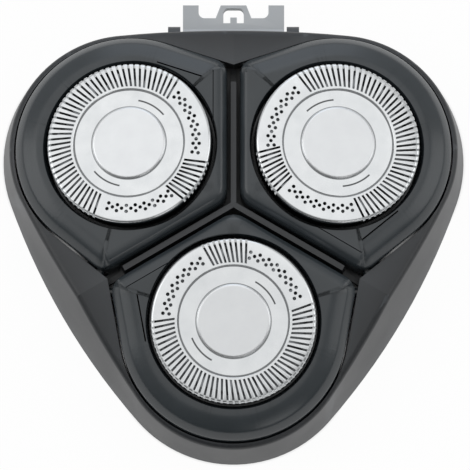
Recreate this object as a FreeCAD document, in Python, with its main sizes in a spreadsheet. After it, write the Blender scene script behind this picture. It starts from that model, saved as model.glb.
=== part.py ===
import FreeCAD, Part
import math
import os
import Sketcher
from FreeCAD import Vector

# Three-headed rotary shaver head, lying on the rim of its skirt with the shaving face up.
# The frame's origin is on the floor under the middle of the lock knob. +Z is towards the face,
# +Y is towards the hinge bracket at the rear, and the front head points along -Y.
# A "head section" is the plane through one head's own axis, which leans outwards by head_lean:
# its origin is the middle of the guard's track plane, and heights down from there are negative.

HEADS = (("front", 0), ("right", 120), ("left", 240))
PREFIX = "Dimensions."
# An edge counts as upright when this share of its direction is along Z.
UPRIGHT_SHARE = 0.9
# Points nearer to a plane than this lie on it, in mm.
ON_PLANE = 0.05

DIMENSIONS = (
    # layout of the heads
    ("head_reach", 16.5, "middle of the unit to the middle of a guard, in plan"),
    ("head_height", 14.4, "floor to the middle of a guard's track plane"),
    ("head_lean", 8.0, "outward lean of each head's axis, degrees"),
    # outer frame
    ("skirt_corner_radius", 17.3, "round of the skirt's corners at the floor"),
    ("skirt_side_reach", 26.9, "middle of the unit to the middle of a side, at the floor"),
    ("crown_corner_radius", 15.8, "round of the skirt's corners at the crown section"),
    ("crown_side_reach", 24.2, "middle of the unit to the middle of a side, at the crown section"),
    ("crown_height", 12.6, "height of the crown section, above the facets that cut it"),
    ("skirt_wall", 1.3, "wall of the moulded frame"),
    ("brow_round", 0.9, "round between the top facets and the skirt"),
    ("seam_height", 7.7, "height of the seam at the outermost point of a shell"),
    ("seam_gap", 0.25, "gap between a shell and the frame round its seam"),
    # head shells
    ("shell_radius", 15.5, "round outline of a shell about its head"),
    ("shoulder_angle", 79.6, "turn from a head's direction to its shell's straight shoulder"),
    ("shell_tip_round", 3.0, "corner of a shell at the middle of the unit"),
    ("shell_notch_round", 2.4, "corner of a shell at a notch"),
    ("shell_drop", 1.4, "a shell's top plane below the track plane"),
    ("shell_depth", 6.0, "height of a shell's wall"),
    ("shell_bevel_width", 1.9, "bevel round a shell's top, across"),
    ("shell_bevel_depth", 2.1, "bevel round a shell's top, down"),
    ("shell_lip_round", 0.5, "round between a shell's bevel and its wall"),
    ("shell_wall", 1.0, "walls beside the hollow in a shell's underside"),
    ("shell_hollow_sweep", 150.0, "length of that hollow round the outer wall, degrees"),
    ("blade_gap", 0.5, "gap between a shell and the blade of the spider beside it"),
    ("rock_reach", 11.5, "middle of the unit to a shell's rocking axis, in plan"),
    ("rock_height", 8.9, "height of a shell's rocking axis"),
    ("trunnion_radius", 0.62, "radius of a shell's trunnions"),
    ("seat_reach", 15.2, "inner end of a trunnion from the middle plane of its shell"),
    ("trunnion_reach", 17.85, "a trunnion's end from the middle plane of its shell"),
    ("running_fit", 0.06, "radial play of pins and shafts in their holes"),
    # spider, bosses and lock socket of the frame
    ("boss_floor", 6.0, "underside of the bosses outside the notches"),
    ("boss_depth", 4.1, "height of those bosses"),
    ("notch_boss_width", 7.4, "width of those bosses"),
    ("notch_boss_reach", 22.6, "middle of the unit to the outside of those bosses"),
    ("blade_thickness", 0.75, "thickness of the upright blade between two shells"),
    ("blade_reach", 17.3, "length of the blade's top from the middle of the unit"),
    ("blade_height", 12.9, "height of the blade's top at the middle of the unit"),
    ("spider_width", 2.2, "width of the spider's arms under the blades"),
    ("spider_floor", 5.1, "underside of the spider's arms"),
    ("spider_depth", 1.7, "height of the spider's arms"),
    ("socket_radius", 3.0, "lock socket under the middle of the spider"),
    ("socket_top", 8.2, "top of the lock socket"),
    ("socket_chamber_radius", 2.35, "chamber in which the lock bar turns"),
    ("socket_chamber_depth", 1.3, "height of that chamber"),
    ("socket_floor", 1.2, "slotted floor of the lock socket"),
    # retaining frame
    ("ring_outer_radius", 11.8, "outside of a retaining ring"),
    ("ring_inner_radius", 9.4, "inside of a retaining ring"),
    ("ring_drop", 7.0, "top of a retaining ring below the track plane"),
    ("ring_depth", 1.4, "height of a retaining ring"),
    ("hub_radius", 5.2, "hub of the retaining frame"),
    ("hub_depth", 1.5, "height of the hub"),
    ("hub_play", 0.1, "gap between the hub and what lies above and below it"),
    ("link_width", 5.0, "width of the links between the hub and the rings"),
    ("link_thickness", 1.6, "thickness of those links"),
    # lock knob
    ("knob_radius", 4.3, "wheel of the lock knob"),
    ("knob_depth", 2.0, "height of the wheel"),
    ("knob_notches", 12.0, "grip notches round the wheel"),
    ("knob_notch_radius", 0.45, "radius of a grip notch"),
    ("knob_wing_depth", 1.0, "height of the grip across the wheel"),
    ("knob_wing_length", 6.9, "length of that grip"),
    ("knob_stem_radius", 1.2, "stem of the lock knob"),
    ("lock_bar_length", 4.3, "length of the lock bar on the stem"),
    ("lock_bar_width", 1.3, "width of the lock bar"),
    ("lock_bar_depth", 1.0, "height of the lock bar"),
    # guards
    ("guard_radius", 11.1, "outside of a guard's wall"),
    ("guard_sheet", 0.36, "thickness of a guard's sheet"),
    ("guard_wall", 0.5, "thickness of a guard's wall"),
    ("guard_shoulder", 0.9, "round between the track and the wall"),
    ("guard_depth", 5.1, "height of a guard"),
    ("flange_radius", 12.0, "flange at a guard's foot"),
    ("flange_depth", 0.6, "height of that flange"),
    ("guard_play", 0.4, "radial play of a guard in its shell"),
    ("track_inner_radius", 7.65, "inner edge of the slotted track"),
    ("band_drop", 0.16, "plain band inside the track, below the track plane"),
    ("bead_radius", 6.1, "middle of the two raised arcs on the band"),
    ("bead_width", 0.3, "width of those arcs"),
    ("bead_rise", 0.08, "height of those arcs"),
    ("bead_heading", 41.5, "direction of the middle of the first arc, seen from above"),
    ("bead_sweep", 39.0, "length of those arcs, degrees"),
    ("slot_pitch", 4.186, "angle from one slot to the next"),
    ("slot_width", 0.24, "width of a slot"),
    ("slot_slant", 4.2, "turn of a slot's inner end behind its outer end, degrees"),
    ("slot_depth", 0.85, "depth of a slot below the track plane"),
    ("outer_slots", 46.0, "slots in the outer zone"),
    ("inner_slots", 9.0, "slots in the zone that points at the unit's middle"),
    ("stub_hole_radius", 0.23, "radius of the round holes between the zones"),
    ("stub_hole_pairs", 8.0, "radial pairs of round holes in one zone"),
    ("stub_hole_spread", 0.31, "middle of a pair to either of its holes"),
    ("stub_hole_lead", 1.25, "last slot of a zone to the first hole, in slot pitches"),
    # head caps
    ("cap_radius", 5.1, "disc in the middle of a guard"),
    ("cap_rise", 0.22, "top of that disc above the track plane"),
    ("cap_spigot_radius", 4.0, "spigot of the disc in the guard"),
    ("cap_spigot_drop", 0.9, "foot of the spigot below the track plane"),
    ("cap_pin_radius", 0.9, "pin on which the cutter turns"),
    ("cap_pin_drop", 3.9, "end of that pin below the track plane"),
    # cutters
    ("cutter_blades", 15.0, "blades of a cutter"),
    ("cutter_inner_radius", 7.9, "inner end of the blades"),
    ("cutter_outer_radius", 10.0, "outer end of the blades"),
    ("cutter_play", 0.05, "gap between the blades and the guard"),
    ("cutter_blade_thickness", 0.34, "thickness of a blade"),
    ("cutter_rake", 0.55, "forward lean of a blade's edge, across"),
    ("cutter_ring_drop", 2.5, "top of the cutter's ring below the track plane"),
    ("cutter_ring_depth", 0.4, "thickness of the cutter's ring"),
    ("carrier_depth", 0.9, "thickness of the carrier's wheel"),
    ("carrier_foot_drop", 8.6, "foot of the carrier below the track plane"),
    ("carrier_hub_radius", 2.7, "hub of the carrier"),
    ("carrier_windows", 6.0, "windows in the carrier's wheel"),
    ("carrier_window_sweep", 38.0, "length of a window, degrees"),
    ("carrier_rim", 1.35, "rim of the wheel outside the windows"),
    ("drive_socket_radius", 1.75, "corner circle of the hexagonal drive socket"),
    ("drive_socket_depth", 4.0, "depth of the drive socket"),
    # finger springs
    ("spring_strip", 0.3, "thickness of the spring strip"),
    ("spring_finger_width", 1.1, "width of a spring finger"),
    ("spring_finger_run", 5.6, "length of a spring finger, in plan"),
    ("spring_fingers", 4.0, "fingers of a spring"),
    ("spring_pad_length", 1.12, "flat end of a finger"),
    # hinge bracket and pin
    ("hinge_reach", 25.4, "middle of the unit to the bracket's pin"),
    ("hinge_height", 2.6, "height of the bracket's pin"),
    ("hinge_pin_radius", 0.6, "bracket pin"),
    ("barrel_radius", 1.25, "barrel of the bracket round its pin"),
    ("bracket_half_width", 6.95, "half the width of the bracket"),
    ("bracket_play", 0.35, "side play of the bracket in the frame"),
    ("bracket_reach", 29.7, "middle of the unit to the ends of the prongs"),
    ("bracket_bar_reach", 27.9, "middle of the unit to the notches between the prongs"),
    ("bracket_plate", 1.6, "thickness of the bracket's plate"),
    ("prong_width", 2.15, "width of a prong"),
    ("loop_half_base", 2.45, "half the width of the loop at its foot"),
    ("loop_half_top", 1.75, "half the width of the loop at its end"),
    ("loop_opening_half", 1.4, "half the width of the loop's opening"),
    ("loop_opening_length", 2.1, "length of the loop's opening"),
    ("loop_end_bar", 0.4, "bar at the end of the loop"),
    ("nub_half_width", 0.45, "half the width of the nub in the loop"),
    ("nub_length", 0.8, "length of that nub"),
    ("bracket_bay_height", 5.2, "height of the bay in the rear wall of the skirt"),
    ("hinge_lug_length", 1.7, "length of a lug that holds the pin"),
)


class Size:
    """A length or angle that keeps its value and the expression that gives it."""

    def __init__(self, value, text):
        self.value = value
        self.text = text

    def __add__(self, other):
        other = size(other)
        return Size(self.value + other.value, "(%s + %s)" % (self.text, other.text))

    def __radd__(self, other):
        return size(other) + self

    def __sub__(self, other):
        other = size(other)
        return Size(self.value - other.value, "(%s - %s)" % (self.text, other.text))

    def __rsub__(self, other):
        return size(other) - self

    def __mul__(self, other):
        other = size(other)
        return Size(self.value * other.value, "(%s * %s)" % (self.text, other.text))

    def __rmul__(self, other):
        return size(other) * self

    def __truediv__(self, other):
        other = size(other)
        return Size(self.value / other.value, "(%s / %s)" % (self.text, other.text))

    def __neg__(self):
        return Size(-self.value, "(0 - %s)" % self.text)


def size(number):
    if isinstance(number, Size):
        return number
    return Size(float(number), "(%r)" % float(number))


def cosine(angle):
    angle = size(angle)
    return Size(math.cos(math.radians(angle.value)), "cos(%s)" % angle.text)


def sine(angle):
    angle = size(angle)
    return Size(math.sin(math.radians(angle.value)), "sin(%s)" % angle.text)


def tangent(angle):
    return sine(angle) / cosine(angle)


def half_angle(width, radius):
    """Half the angle, in degrees, that a small width takes up on a circle."""
    return width / radius * (90 / math.pi)


def arc_cosine(amount):
    return Size(math.degrees(math.acos(amount.value)), "(acos(%s) / 1 deg)" % amount.text)


doc = FreeCAD.newDocument("rotary_shaver_head")
sheet = doc.addObject("Spreadsheet::Sheet", "Dimensions")
D = {}
for row, (alias, number, note) in enumerate(DIMENSIONS, start=1):
    sheet.set("A%d" % row, alias)
    sheet.set("B%d" % row, str(number))
    sheet.set("C%d" % row, note)
    sheet.setAlias("B%d" % row, alias)
doc.recompute()
for alias, number, note in DIMENSIONS:
    D[alias] = Size(float(sheet.get(alias)), PREFIX + alias)


# Helpers for sketches and features

def polar(radius, angle):
    return (radius * cosine(angle), radius * sine(angle))


def moved(point, dx, dy):
    return (point[0] + dx, point[1] + dy)


def place(thing, base, turn_axis="0; 0; 1", turn=0, name="Placement", before=""):
    spot = "; ".join(size(part).text for part in base)
    text = "placement(vector(%s); rotation(vector(%s); %s))" % (spot, turn_axis, size(turn).text)
    thing.setExpression(name, before + text)


def around_middle(angle):
    return "placement(vector(0; 0; 0); rotation(vector(0; 0; 1); %d)) * " % angle


def new_body(name):
    body = doc.addObject("PartDesign::Body", name)
    body.Label = name
    return body


def new_sketch(body, name, role, base=(0, 0, 0), turn=0):
    sketch = body.newObject("Sketcher::SketchObject", name)
    plane = [feature for feature in body.Origin.OriginFeatures if feature.Role == role][0]
    sketch.AttachmentSupport = (plane, "")
    sketch.MapMode = "FlatFace"
    place(sketch, base, turn=turn, name="AttachmentOffset")
    return sketch


def head_section(body, name):
    """Sketch plane through the front head's axis: x is inwards, y is up along the axis."""
    return new_sketch(body, name, "YZ_Plane", (-D["head_reach"], D["head_height"], 0), D["head_lean"])


def vector_of(point):
    return Vector(size(point[0]).value, size(point[1]).value, 0)


def hold(sketch, kind, places, amount):
    """Add a constraint whose value follows an expression."""
    amount = size(amount)
    number = sketch.addConstraint(Sketcher.Constraint(kind, *places, amount.value))
    sketch.setExpression("Constraints[%d]" % number, amount.text)


def pin_point(sketch, element, end, point):
    hold(sketch, "DistanceX", (-1, 1, element, end), point[0])
    hold(sketch, "DistanceY", (-1, 1, element, end), point[1])


def draw_outline(sketch, corners):
    """Closed outline. A corner is (x, y), or (x, y, radius, bulge) where an arc leads from it to
    the next corner: the bulge is 1 for an arc that turns left and -1 for one that turns right."""
    first = sketch.GeometryCount
    count = len(corners)
    for index, corner in enumerate(corners):
        start = vector_of(corner)
        finish = vector_of(corners[(index + 1) % count])
        if len(corner) == 2:
            sketch.addGeometry(Part.LineSegment(start, finish), False)
            continue
        radius = size(corner[2]).value
        chord = finish - start
        half = chord.Length / 2
        rise = math.sqrt(max(radius * radius - half * half, 0))
        side = Vector(-chord.y, chord.x, 0).normalize()
        centre = start + chord * 0.5 + side * (rise * corner[3])
        middle = centre - side * (radius * corner[3])
        sketch.addGeometry(Part.Arc(start, middle, finish), False)
    for index, corner in enumerate(corners):
        element = first + index
        following = first + (index + 1) % count
        start_end, finish_end = arc_ends(sketch, element, corner)
        next_start, next_finish = arc_ends(sketch, following, corners[(index + 1) % count])
        sketch.addConstraint(Sketcher.Constraint("Coincident", element, finish_end, following, next_start))
        pin_point(sketch, element, start_end, corner)
        if len(corner) > 2:
            hold(sketch, "Radius", (element,), corner[2])


def arc_ends(sketch, element, corner):
    """Sketch arcs always run anticlockwise, so an arc that turns right starts at its end."""
    if len(corner) == 2 or corner[3] > 0:
        return 1, 2
    return 2, 1


def draw_circle(sketch, centre, radius):
    number = sketch.addGeometry(Part.Circle(vector_of(centre), Vector(0, 0, 1), size(radius).value), False)
    pin_point(sketch, number, 3, centre)
    hold(sketch, "Radius", (number,), radius)


def pad(body, sketch, length, name, both_ways=False, reverse=False):
    feature = body.newObject("PartDesign::Pad", name)
    feature.Profile = sketch
    feature.setExpression("Length", size(length).text)
    feature.Midplane = both_ways
    feature.Reversed = reverse
    return feature


def pocket(body, sketch, name, depth=None, both_ways=False, reverse=False):
    feature = body.newObject("PartDesign::Pocket", name)
    feature.Profile = sketch
    if depth is None:
        feature.Type = 1
    else:
        feature.setExpression("Length", size(depth).text)
    feature.Midplane = both_ways
    feature.Reversed = reverse
    return feature


def spin(body, sketch, name, kind="PartDesign::Revolution", sweep=None):
    """Turn a profile about its sketch's upright axis: all round, or a sweep to both sides."""
    feature = body.newObject(kind, name)
    feature.Profile = sketch
    feature.ReferenceAxis = (sketch, ["V_Axis"])
    if sweep is None:
        feature.Angle = 360
    else:
        feature.Midplane = True
        feature.setExpression("Angle", sweep.text)
    return feature


def repeat_round(body, features, name, count, sweep=360):
    pattern = body.newObject("PartDesign::PolarPattern", name)
    pattern.Originals = features
    axis = [feature for feature in body.Origin.OriginFeatures if feature.Role == "Z_Axis"][0]
    pattern.Axis = (axis, [""])
    pattern.setExpression("Angle", size(sweep).text)
    pattern.setExpression("Occurrences", size(count).text)
    body.Tip = pattern
    return pattern


def mirror(body, features, name, role="YZ_Plane"):
    twin = body.newObject("PartDesign::Mirrored", name)
    twin.Originals = features
    plane = [feature for feature in body.Origin.OriginFeatures if feature.Role == role][0]
    twin.MirrorPlane = (plane, [""])
    body.Tip = twin
    return twin


def edges_where(shape, test):
    return ["Edge%d" % number for number, edge in enumerate(shape.Edges, start=1) if test(edge)]


def is_upright(edge):
    return abs(edge.tangentAt(edge.FirstParameter).z) > UPRIGHT_SHARE


def middle_of(edge):
    return edge.valueAt((edge.FirstParameter + edge.LastParameter) / 2)


def round_edges(body, test, radius, name):
    doc.recompute()
    base = body.Tip
    feature = body.newObject("PartDesign::Fillet", name)
    feature.Base = (base, edges_where(base.Shape, test))
    feature.setExpression("Radius", size(radius).text)
    return feature


# Outlines that several pieces share

def skirt_outline(sketch, corner_radius, side_reach):
    """Triangle with round corners about the heads and gently bowed sides."""
    reach = D["head_reach"]
    spread = side_reach - corner_radius
    back = (reach * reach - spread * spread) / (spread * 2 - reach)
    side_radius = back + side_reach
    turn = arc_cosine((reach + back / 2) / (back + spread))
    corners = []
    for head, angle in HEADS:
        heading = angle - 90
        middle = polar(reach, heading)
        start = moved(middle, *polar(corner_radius, heading - turn))
        finish = moved(middle, *polar(corner_radius, heading + turn))
        corners.append((start[0], start[1], corner_radius, 1))
        corners.append((finish[0], finish[1], side_radius, 1))
    draw_outline(sketch, corners)


def shoulder_reach(play, offset):
    """Where the straight shoulder of a shell meets a line beside the spider's arm."""
    lift = D["head_reach"] * cosine(D["shoulder_angle"]) + D["shell_radius"] + play
    return (lift + offset * cosine(150 - D["shoulder_angle"])) / cosine(D["shoulder_angle"] - 60)


def shell_opening(sketch):
    """Trefoil opening of the frame, wider than the three shells by the seam gap."""
    radius = D["shell_radius"] + D["seam_gap"]
    notch = shoulder_reach(D["seam_gap"], size(0))
    corners = []
    for head, angle in HEADS:
        heading = angle - 90
        middle = polar(D["head_reach"], heading)
        start = moved(middle, *polar(radius, heading - D["shoulder_angle"]))
        finish = moved(middle, *polar(radius, heading + D["shoulder_angle"]))
        corners.append((start[0], start[1], radius, 1))
        corners.append(finish)
        corners.append(polar(notch, heading + 60))
    draw_outline(sketch, corners)


def shell_outline(sketch):
    """One shell of the trefoil, in the front position."""
    aside = D["blade_thickness"] / 2 + D["blade_gap"]
    radius = D["shell_radius"]
    middle = polar(D["head_reach"], -90)
    reach = shoulder_reach(size(0), aside)
    tip = (size(0), -aside / cosine(30))
    right_notch = moved(polar(reach, -30), *polar(-aside, 60))
    left_notch = (-right_notch[0], right_notch[1])
    right_shoulder = moved(middle, *polar(radius, D["shoulder_angle"] - 90))
    left_shoulder = (-right_shoulder[0], right_shoulder[1])
    draw_outline(sketch, [tip, left_notch, (left_shoulder[0], left_shoulder[1], radius, 1),
                          right_shoulder, right_notch])


# Outer frame: one moulding with skirt, notch bosses, spider, lock socket and bracket lugs

def skirt_block(body, name, inset):
    """Solid block of the skirt under its three top facets, smaller all round by the inset."""
    foot = new_sketch(body, name + "Foot", "XY_Plane")
    skirt_outline(foot, D["skirt_corner_radius"] - inset, D["skirt_side_reach"] - inset)
    crown = new_sketch(body, name + "Crown", "XY_Plane", (0, 0, D["crown_height"]))
    skirt_outline(crown, D["crown_corner_radius"] - inset, D["crown_side_reach"] - inset)
    skirt = body.newObject("PartDesign::AdditiveLoft", name)
    skirt.Profile = foot
    skirt.Sections = [crown]
    skirt.Ruled = True
    over = D["skirt_corner_radius"] + D["head_reach"]
    above = D["crown_height"] * 2
    seam = D["seam_height"] - inset
    seam_reach = D["head_reach"] + D["shell_radius"]
    facet = new_sketch(body, name + "FacetLine", "YZ_Plane")
    draw_outline(facet, [
        (-over, seam + (seam_reach - over) * tangent(D["head_lean"])),
        (over, seam + (seam_reach + over) * tangent(D["head_lean"])),
        (over, above),
        (-over, above),
    ])
    facet_cut = pocket(body, facet, name + "FacetCut", over * 3, both_ways=True)
    repeat_round(body, [facet_cut], name + "FacetCuts", 3)


def make_outer_frame():
    hollow = new_body("skirt_hollow")
    skirt_block(hollow, "Hollow", D["skirt_wall"])
    body = new_body("outer_frame")
    skirt_block(body, "Skirt", size(0))

    def on_brow(edge):
        spot = middle_of(edge)
        beyond_heads = math.hypot(spot.x, spot.y) > D["head_reach"].value
        return beyond_heads and spot.z > D["seam_height"].value / 2 and not is_upright(edge)

    round_edges(body, on_brow, D["brow_round"], "BrowRound")
    shelling = body.newObject("PartDesign::Boolean", "Shelling")
    shelling.Type = "Cut"
    shelling.Group = [hollow]

    slope = tangent(D["head_lean"])
    above = D["crown_height"] * 2
    boss = new_sketch(body, "NotchBossOutline", "XY_Plane", (0, 0, D["boss_floor"]))
    boss_foot = D["notch_boss_width"] / 2
    boss_start = shoulder_reach(size(0), size(0)) - D["skirt_wall"]
    draw_outline(boss, [
        (boss_foot, boss_start),
        (boss_foot, D["notch_boss_reach"]),
        (-boss_foot, D["notch_boss_reach"]),
        (-boss_foot, boss_start),
    ])
    notch_boss = pad(body, boss, D["boss_depth"], "NotchBoss")
    repeat_round(body, [notch_boss], "NotchBosses", 3)

    opening = new_sketch(body, "ShellOpeningOutline", "XY_Plane")
    shell_opening(opening)
    pocket(body, opening, "ShellOpening", above * 2, both_ways=True)

    arm = new_sketch(body, "SpiderArmOutline", "XY_Plane", (0, 0, D["spider_floor"]))
    half = D["spider_width"] / 2
    side_slope = (D["skirt_side_reach"] - D["crown_side_reach"]) / D["crown_height"]
    arm_reach = D["skirt_side_reach"] - D["skirt_wall"] - D["spider_floor"] * side_slope
    draw_outline(arm, [(half, size(0)), (half, arm_reach), (-half, arm_reach), (-half, size(0))])
    spider_arm = pad(body, arm, D["spider_depth"], "SpiderArm")
    blade = new_sketch(body, "BladeProfile", "YZ_Plane")
    blade_end = D["blade_height"] - D["blade_reach"] * slope * cosine(60)
    blade_foot = shoulder_reach(size(0), size(0)) + D["skirt_wall"]
    arm_top = D["spider_floor"] + D["spider_depth"]
    draw_outline(blade, [
        (size(0), D["spider_floor"]),
        (blade_foot, D["spider_floor"]),
        (blade_foot, arm_top + D["skirt_wall"] / 2),
        (D["blade_reach"], arm_top + D["skirt_wall"]),
        (D["blade_reach"], blade_end),
        (size(0), D["blade_height"]),
    ])
    upright = pad(body, blade, D["blade_thickness"], "Blade", both_ways=True)
    repeat_round(body, [spider_arm, upright], "Spider", 3)

    socket = new_sketch(body, "SocketOutline", "XY_Plane", (0, 0, D["spider_floor"]))
    draw_circle(socket, (size(0), size(0)), D["socket_radius"])
    pad(body, socket, D["socket_top"] - D["spider_floor"], "Socket")
    chamber_floor = D["spider_floor"] + D["socket_floor"]
    chamber = new_sketch(body, "ChamberOutline", "XY_Plane", (0, 0, chamber_floor))
    draw_circle(chamber, (size(0), size(0)), D["socket_chamber_radius"])
    pocket(body, chamber, "Chamber", D["socket_chamber_depth"], reverse=True)
    keyway = new_sketch(body, "KeywayOutline", "XY_Plane", (0, 0, chamber_floor))
    key_half = D["lock_bar_width"] / 2 + D["running_fit"] * 2
    key_end = D["lock_bar_length"] / 2 + D["running_fit"] * 2
    draw_outline(keyway, [(key_half, -key_end), (key_half, key_end), (-key_half, key_end),
                          (-key_half, -key_end)])
    pocket(body, keyway, "Keyway", D["socket_floor"])
    eye = new_sketch(body, "StemHoleOutline", "XY_Plane", (0, 0, chamber_floor))
    draw_circle(eye, (size(0), size(0)), D["knob_stem_radius"] + D["running_fit"])
    pocket(body, eye, "StemHole", D["socket_floor"])

    bearing = new_sketch(body, "TrunnionHoleOutline", "YZ_Plane")
    draw_circle(bearing, (-D["rock_reach"], D["rock_height"]), D["trunnion_radius"] + D["running_fit"])
    bearing_length = (D["trunnion_reach"] + D["running_fit"] * 2) * 2
    trunnion_hole = pocket(body, bearing, "TrunnionHole", bearing_length, both_ways=True)
    repeat_round(body, [trunnion_hole], "TrunnionHoles", 3)

    bay_half = D["bracket_half_width"] + D["bracket_play"]
    bay = new_sketch(body, "BracketBayOutline", "XY_Plane", (0, 0, D["bracket_bay_height"]))
    bay_start = D["hinge_reach"] - D["barrel_radius"] - D["bracket_play"]
    draw_outline(bay, [(bay_half, bay_start), (bay_half, D["bracket_reach"]),
                       (-bay_half, D["bracket_reach"]), (-bay_half, bay_start)])
    pocket(body, bay, "BracketBay", D["bracket_bay_height"] + D["skirt_wall"])
    lug = new_sketch(body, "HingeLugOutline", "YZ_Plane", (0, 0, bay_half))
    draw_circle(lug, (D["hinge_reach"], D["hinge_height"]), D["barrel_radius"] + D["bracket_play"] / 2)
    hinge_lug = pad(body, lug, D["hinge_lug_length"], "HingeLug")
    mirror(body, [hinge_lug], "HingeLugs")
    pin_hole = new_sketch(body, "PinHoleOutline", "YZ_Plane")
    draw_circle(pin_hole, (D["hinge_reach"], D["hinge_height"]), D["hinge_pin_radius"])
    pocket(body, pin_hole, "PinHole", (bay_half + D["hinge_lug_length"]) * 2, both_ways=True)
    return body


# Head shells: one per head, each rocking on two trunnions beside its notches

def make_head_shell(head, angle):
    body = new_body("head_shell_" + head)
    outline = new_sketch(body, "ShellOutline_" + head, "XY_Plane")
    shell_outline(outline)
    pad(body, outline, D["head_height"] * 2, "ShellBlank_" + head)

    def at_tip(edge):
        return is_upright(edge) and middle_of(edge).y > -D["shell_drop"].value * 2

    def at_notch(edge):
        before_head = middle_of(edge).y > -D["head_reach"].value
        return is_upright(edge) and before_head and not at_tip(edge)

    round_edges(body, at_tip, D["shell_tip_round"], "TipRound_" + head)
    round_edges(body, at_notch, D["shell_notch_round"], "NotchRound_" + head)

    wide = D["shell_radius"] * 3
    top = -D["shell_drop"]
    foot = top - D["shell_depth"]
    below = head_section(body, "BelowFoot_" + head)
    draw_outline(below, [(-wide, foot - wide), (wide, foot - wide), (wide, foot), (-wide, foot)])
    pocket(body, below, "FootPlane_" + head, wide * 2, both_ways=True)
    above = head_section(body, "AboveTop_" + head)
    draw_outline(above, [(-wide, top), (wide, top), (wide, top + wide), (-wide, top + wide)])
    pocket(body, above, "TopPlane_" + head, wide * 2, both_ways=True)

    doc.recompute()
    base = body.Tip

    def on_top(edge):
        return lies_at(edge, top)

    bevel = body.newObject("PartDesign::Chamfer", "TopBevel_" + head)
    bevel.Base = (base, edges_where(base.Shape, on_top))
    bevel.ChamferType = 1
    bevel.setExpression("Size", D["shell_bevel_depth"].text)
    bevel.setExpression("Size2", D["shell_bevel_width"].text)
    lip = top - D["shell_bevel_depth"]
    round_edges(body, lambda edge: lies_at(edge, lip), D["shell_lip_round"], "LipRound_" + head)

    bore = head_section(body, "BoreProfile_" + head)
    mouth = D["guard_radius"] + D["guard_play"]
    seat = D["flange_radius"] + D["guard_play"]
    shelf = D["flange_depth"] - D["guard_depth"] + D["running_fit"]
    draw_outline(bore, [(size(0), top + wide / 4), (mouth, top + wide / 4), (mouth, shelf),
                        (seat, shelf), (seat, foot - wide / 4), (size(0), foot - wide / 4)])
    spin(body, bore, "Bore_" + head, "PartDesign::Groove")
    hollow = head_section(body, "HollowProfile_" + head)
    near = -seat - D["shell_wall"]
    far = D["shell_wall"] - D["shell_radius"]
    roof = lip - D["shell_wall"]
    draw_outline(hollow, [(far, foot - wide / 4), (near, foot - wide / 4), (near, roof), (far, roof)])
    spin(body, hollow, "Hollow_" + head, "PartDesign::Groove", D["shell_hollow_sweep"])

    trunnion = new_sketch(body, "TrunnionOutline_" + head, "YZ_Plane",
                          (0, 0, D["seat_reach"]))
    draw_circle(trunnion, (-D["rock_reach"], D["rock_height"]), D["trunnion_radius"])
    one = pad(body, trunnion, D["trunnion_reach"] - D["seat_reach"], "Trunnion_" + head)
    mirror(body, [one], "Trunnions_" + head)
    place(body, (0, 0, 0), turn=angle)
    return body


def lies_at(edge, height):
    """True for an edge that runs at one height above the front head's track plane."""
    ends = (edge.FirstParameter, edge.LastParameter)
    return all(abs(height_in_head(edge.valueAt(end)) - height.value) < ON_PLANE for end in ends)


def height_in_head(point):
    """Height of a point above the front head's track plane, along that head's axis."""
    lean = math.radians(D["head_lean"].value)
    inward = point.y + D["head_reach"].value
    return (point.z - D["head_height"].value) * math.cos(lean) - inward * math.sin(lean)


# Retaining frame: hub under the lock socket, with a leaning ring under each guard

def make_retaining_frame():
    body = new_body("retaining_frame")
    hub_floor = D["spider_floor"] - D["hub_play"] - D["hub_depth"]
    hub = new_sketch(body, "HubOutline", "XY_Plane", (0, 0, hub_floor))
    draw_circle(hub, (size(0), size(0)), D["hub_radius"])
    pad(body, hub, D["hub_depth"], "Hub")
    ring = head_section(body, "RingProfile")
    ring_top = -D["ring_drop"]
    ring_foot = ring_top - D["ring_depth"]
    draw_outline(ring, [(D["ring_inner_radius"], ring_foot), (D["ring_outer_radius"], ring_foot),
                        (D["ring_outer_radius"], ring_top), (D["ring_inner_radius"], ring_top)])
    one_ring = spin(body, ring, "Ring")
    link = head_section(body, "LinkProfile")
    link_inner = D["ring_outer_radius"] - D["link_thickness"]
    link_drop = D["head_height"] + link_inner * sine(D["head_lean"]) - hub_floor - D["hub_depth"] / 2
    link_foot = -link_drop / cosine(D["head_lean"])
    draw_outline(link, [(link_inner, link_foot), (D["ring_outer_radius"], link_foot),
                        (D["ring_outer_radius"], ring_foot + D["ring_depth"] / 2),
                        (link_inner, ring_foot + D["ring_depth"] / 2)])
    one_link = pad(body, link, D["link_width"], "Link", both_ways=True)
    repeat_round(body, [one_ring, one_link], "RingsAndLinks", 3)
    bore = new_sketch(body, "HubBoreOutline", "XY_Plane", (0, 0, hub_floor + D["hub_depth"]))
    draw_circle(bore, (size(0), size(0)), D["knob_stem_radius"] + D["running_fit"])
    pocket(body, bore, "HubBore")
    return body


# Lock knob: quarter-turn wheel whose bar holds the retaining frame up in the lock socket

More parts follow.
